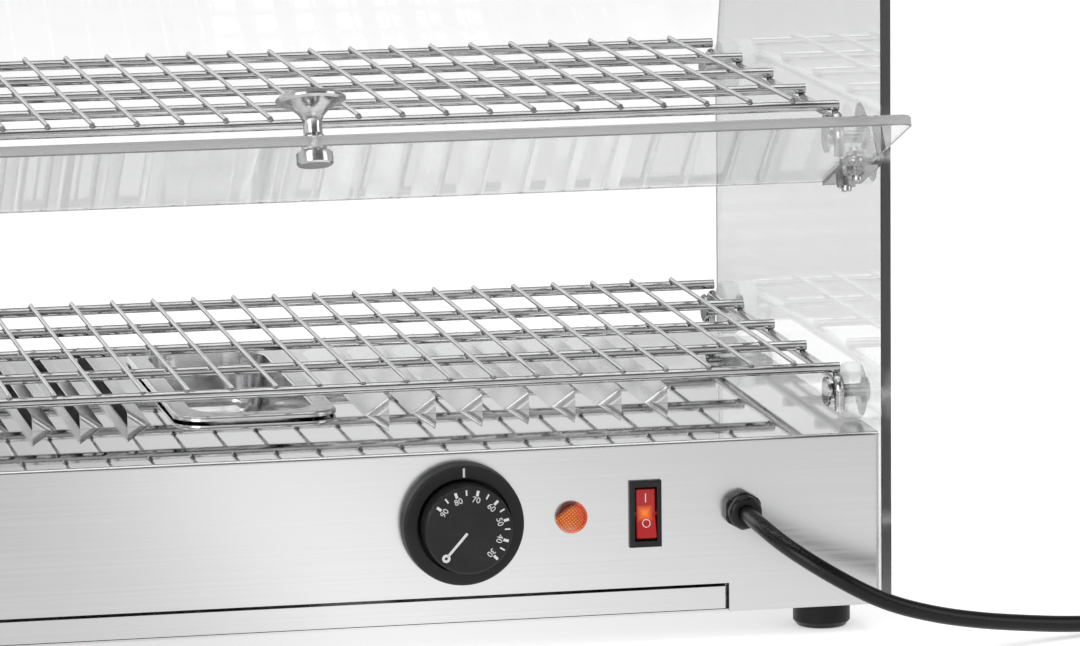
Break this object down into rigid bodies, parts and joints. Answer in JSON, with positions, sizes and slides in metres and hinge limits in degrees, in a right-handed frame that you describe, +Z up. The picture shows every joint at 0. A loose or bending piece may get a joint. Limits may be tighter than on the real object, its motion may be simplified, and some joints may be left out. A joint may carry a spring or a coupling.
{
  "type": "heated display case",
  "caption": "Countertop heated display case: glass sides and roof, wire shelves, hinged glass flaps, and a steel base with a water pan, louvres, crumb tray, thermostat and switch.",
  "frame": {"origin": "on the worktop, under the middle of the box around the case with its flaps open", "axes": "+X along the case to the operator's right, +Y from the operator to the customer side, +Z up"},
  "size_m": [0.824, 0.452, 0.4057],
  "materials": {
    "brushed_steel": "brushed",
    "polished_steel": "polished",
    "clear_glass": "clear",
    "bright_chrome": "polished",
    "clear_plastic": "frosted",
    "black_plastic": "satin",
    "amber_lens": "gloss",
    "red_rocker": "gloss",
    "black_rubber": "satin",
    "element_steel": "oxidised",
    "white_plastic": "satin",
    "copper_brass": "satin"
  },
  "bodies": {
    "base": {"base_floor": "brushed_steel", "base_housing": "brushed_steel", "base_sides": "brushed_steel", "cable_gland": "black_plastic", "cord_coil": "black_rubber", "cord_tail": "black_rubber", "cord_tie": "black_plastic", "floor_screws": "polished_steel", "foot_customer_left": "black_rubber", "foot_customer_right": "black_rubber", "foot_operator_left": "black_rubber", "foot_operator_right": "black_rubber", "foot_screws": "polished_steel", "gland_nut": "black_plastic", "glass_front": "clear_glass", "glass_roof": "clear_glass", "glass_screws": "polished_steel", "glass_side_left": "clear_glass", "glass_side_right": "clear_glass", "heater_hangers": "brushed_steel", "heating_elements": "element_steel", "hinge_blocks": "clear_plastic", "indicator_body": "white_plastic", "indicator_lens": "amber_lens", "mains_cord": "black_rubber", "pivot_bolts": "polished_steel", "pivot_nuts": "polished_steel", "plug_body": "black_plastic", "plug_pins": "bright_chrome", "shelf_studs": "bright_chrome", "stud_bushes": "clear_plastic", "stud_caps": "polished_steel", "switch_housing": "black_plastic", "terminal_block": "white_plastic", "thermostat_body": "black_plastic", "thermostat_bulb": "copper_brass", "thermostat_ring": "black_plastic", "tray_guides": "brushed_steel", "wiring_loom": "black_rubber"},
    "lower_shelf": {"lower_shelf_grid": "bright_chrome", "lower_shelf_bars": "bright_chrome"},
    "upper_shelf": {"upper_shelf_grid": "bright_chrome", "upper_shelf_bars": "bright_chrome"},
    "lower_flap": {"lower_flap_glass": "clear_glass", "lower_flap_knob": "bright_chrome", "lower_flap_knob_nut": "bright_chrome", "lower_flap_brackets": "brushed_steel", "lower_flap_bolts": "polished_steel", "lower_flap_nuts": "polished_steel"},
    "upper_flap": {"upper_flap_glass": "clear_glass", "upper_flap_knob": "bright_chrome", "upper_flap_knob_nut": "bright_chrome", "upper_flap_brackets": "brushed_steel", "upper_flap_bolts": "polished_steel", "upper_flap_nuts": "polished_steel"},
    "dial": {"thermostat_dial": "black_plastic", "thermostat_shaft": "polished_steel"},
    "rocker": {"switch_rocker": "red_rocker"},
    "crumb_tray": {"crumb_tray": "brushed_steel"},
    "water_pan": {"water_pan": "polished_steel"}
  },
  "joints": [
    {"name": "lower_flap_hinge", "type": "hinge", "parent": "base", "child": "lower_flap", "pos_m": [0, -0.109, 0.228], "axis": [1, 0, 0], "range_deg": [-10, 110]},
    {"name": "upper_flap_hinge", "type": "hinge", "parent": "base", "child": "upper_flap", "pos_m": [0, -0.109, 0.355], "axis": [1, 0, 0], "range_deg": [-10, 110]},
    {"name": "thermostat_turn", "type": "hinge", "parent": "base", "child": "dial", "pos_m": [0.0821, -0.121, 0.0624], "axis": [0, 1, 0], "range_deg": [-221.6, 52.5]},
    {"name": "switch_tip", "type": "hinge", "parent": "base", "child": "rocker", "pos_m": [0.1708, -0.121, 0.0624], "axis": [1, 0, 0], "range_deg": [0, 16]},
    {"name": "lower_shelf_lift", "type": "slide", "parent": "base", "child": "lower_shelf", "axis": [0, 0, 1], "range_m": [0, 0.015]},
    {"name": "upper_shelf_lift", "type": "slide", "parent": "base", "child": "upper_shelf", "axis": [0, 0, 1], "range_m": [0, 0.015]},
    {"name": "water_pan_lift", "type": "slide", "parent": "base", "child": "water_pan", "axis": [0, 0, 1], "range_m": [0, 0.018]},
    {"name": "crumb_tray_slide", "type": "slide", "parent": "base", "child": "crumb_tray", "axis": [0, -1, 0], "range_m": [0, 0.24]}
  ]
}
